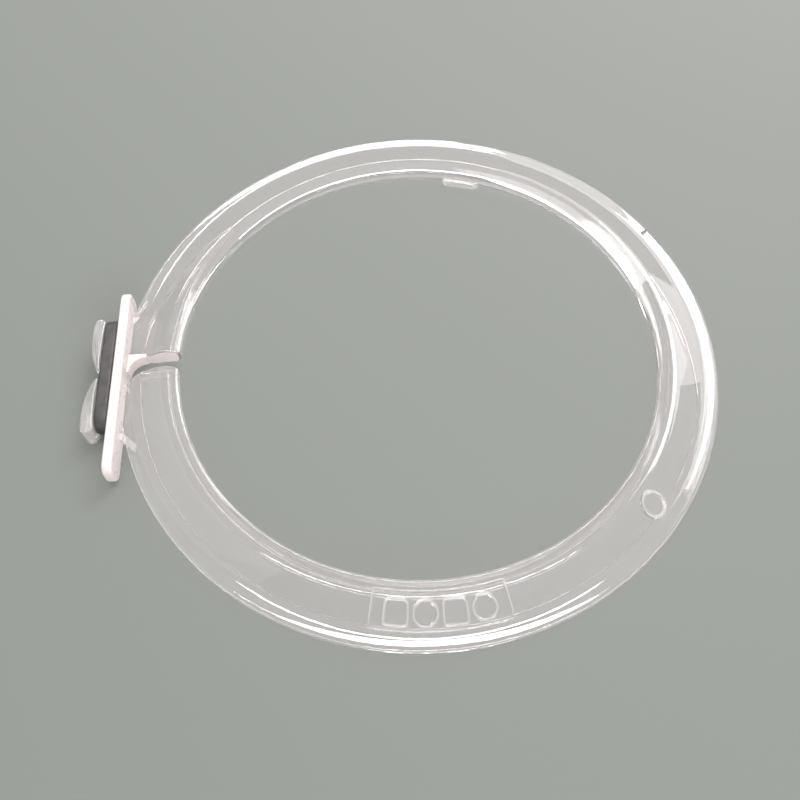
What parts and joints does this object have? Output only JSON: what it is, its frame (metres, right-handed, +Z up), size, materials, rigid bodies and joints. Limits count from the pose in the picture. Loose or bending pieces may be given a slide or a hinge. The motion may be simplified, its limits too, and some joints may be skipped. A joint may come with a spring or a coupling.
{
  "type": "leg band",
  "caption": "Clear split ring that lies round a leg, slotted through at a latch of two half posts and held shut by a black rubber band.",
  "frame": {"origin": "centre of the leg bore, on the plane that the band lies on", "axes": "+Z up along the leg, out of the band's top face; -X towards the split and its latch; +Y towards the arm that swings open"},
  "size_m": [0.0628, 0.06, 0.003],
  "materials": {
    "clear_plastic": "clear, glossy, injection moulded",
    "black_rubber": "matt"
  },
  "bodies": {
    "lower_arm": {"lower_arm": "clear_plastic", "flex_zone": "clear_plastic", "lower_web": "clear_plastic", "lower_plate": "clear_plastic", "lower_post": "clear_plastic", "lower_hook": "clear_plastic", "rubber_band": "black_rubber", "panel_frame": "clear_plastic", "panel_blanks": "clear_plastic", "cavity_ring": "clear_plastic"},
    "upper_arm": {"upper_arm": "clear_plastic", "slot_fillet": "clear_plastic", "upper_web": "clear_plastic", "upper_plate": "clear_plastic", "upper_post": "clear_plastic", "upper_hook": "clear_plastic", "edge_nibs": "clear_plastic"}
  },
  "joints": [
    {"name": "ring_open", "type": "hinge", "parent": "lower_arm", "child": "upper_arm", "pos_m": [0.027, 0, 0.001], "axis": [0, 0, -1], "range_deg": [0, 20], "stiffness_Nm_per_rad": 0.1, "deforming": ["flex_zone", "rubber_band"]}
  ]
}
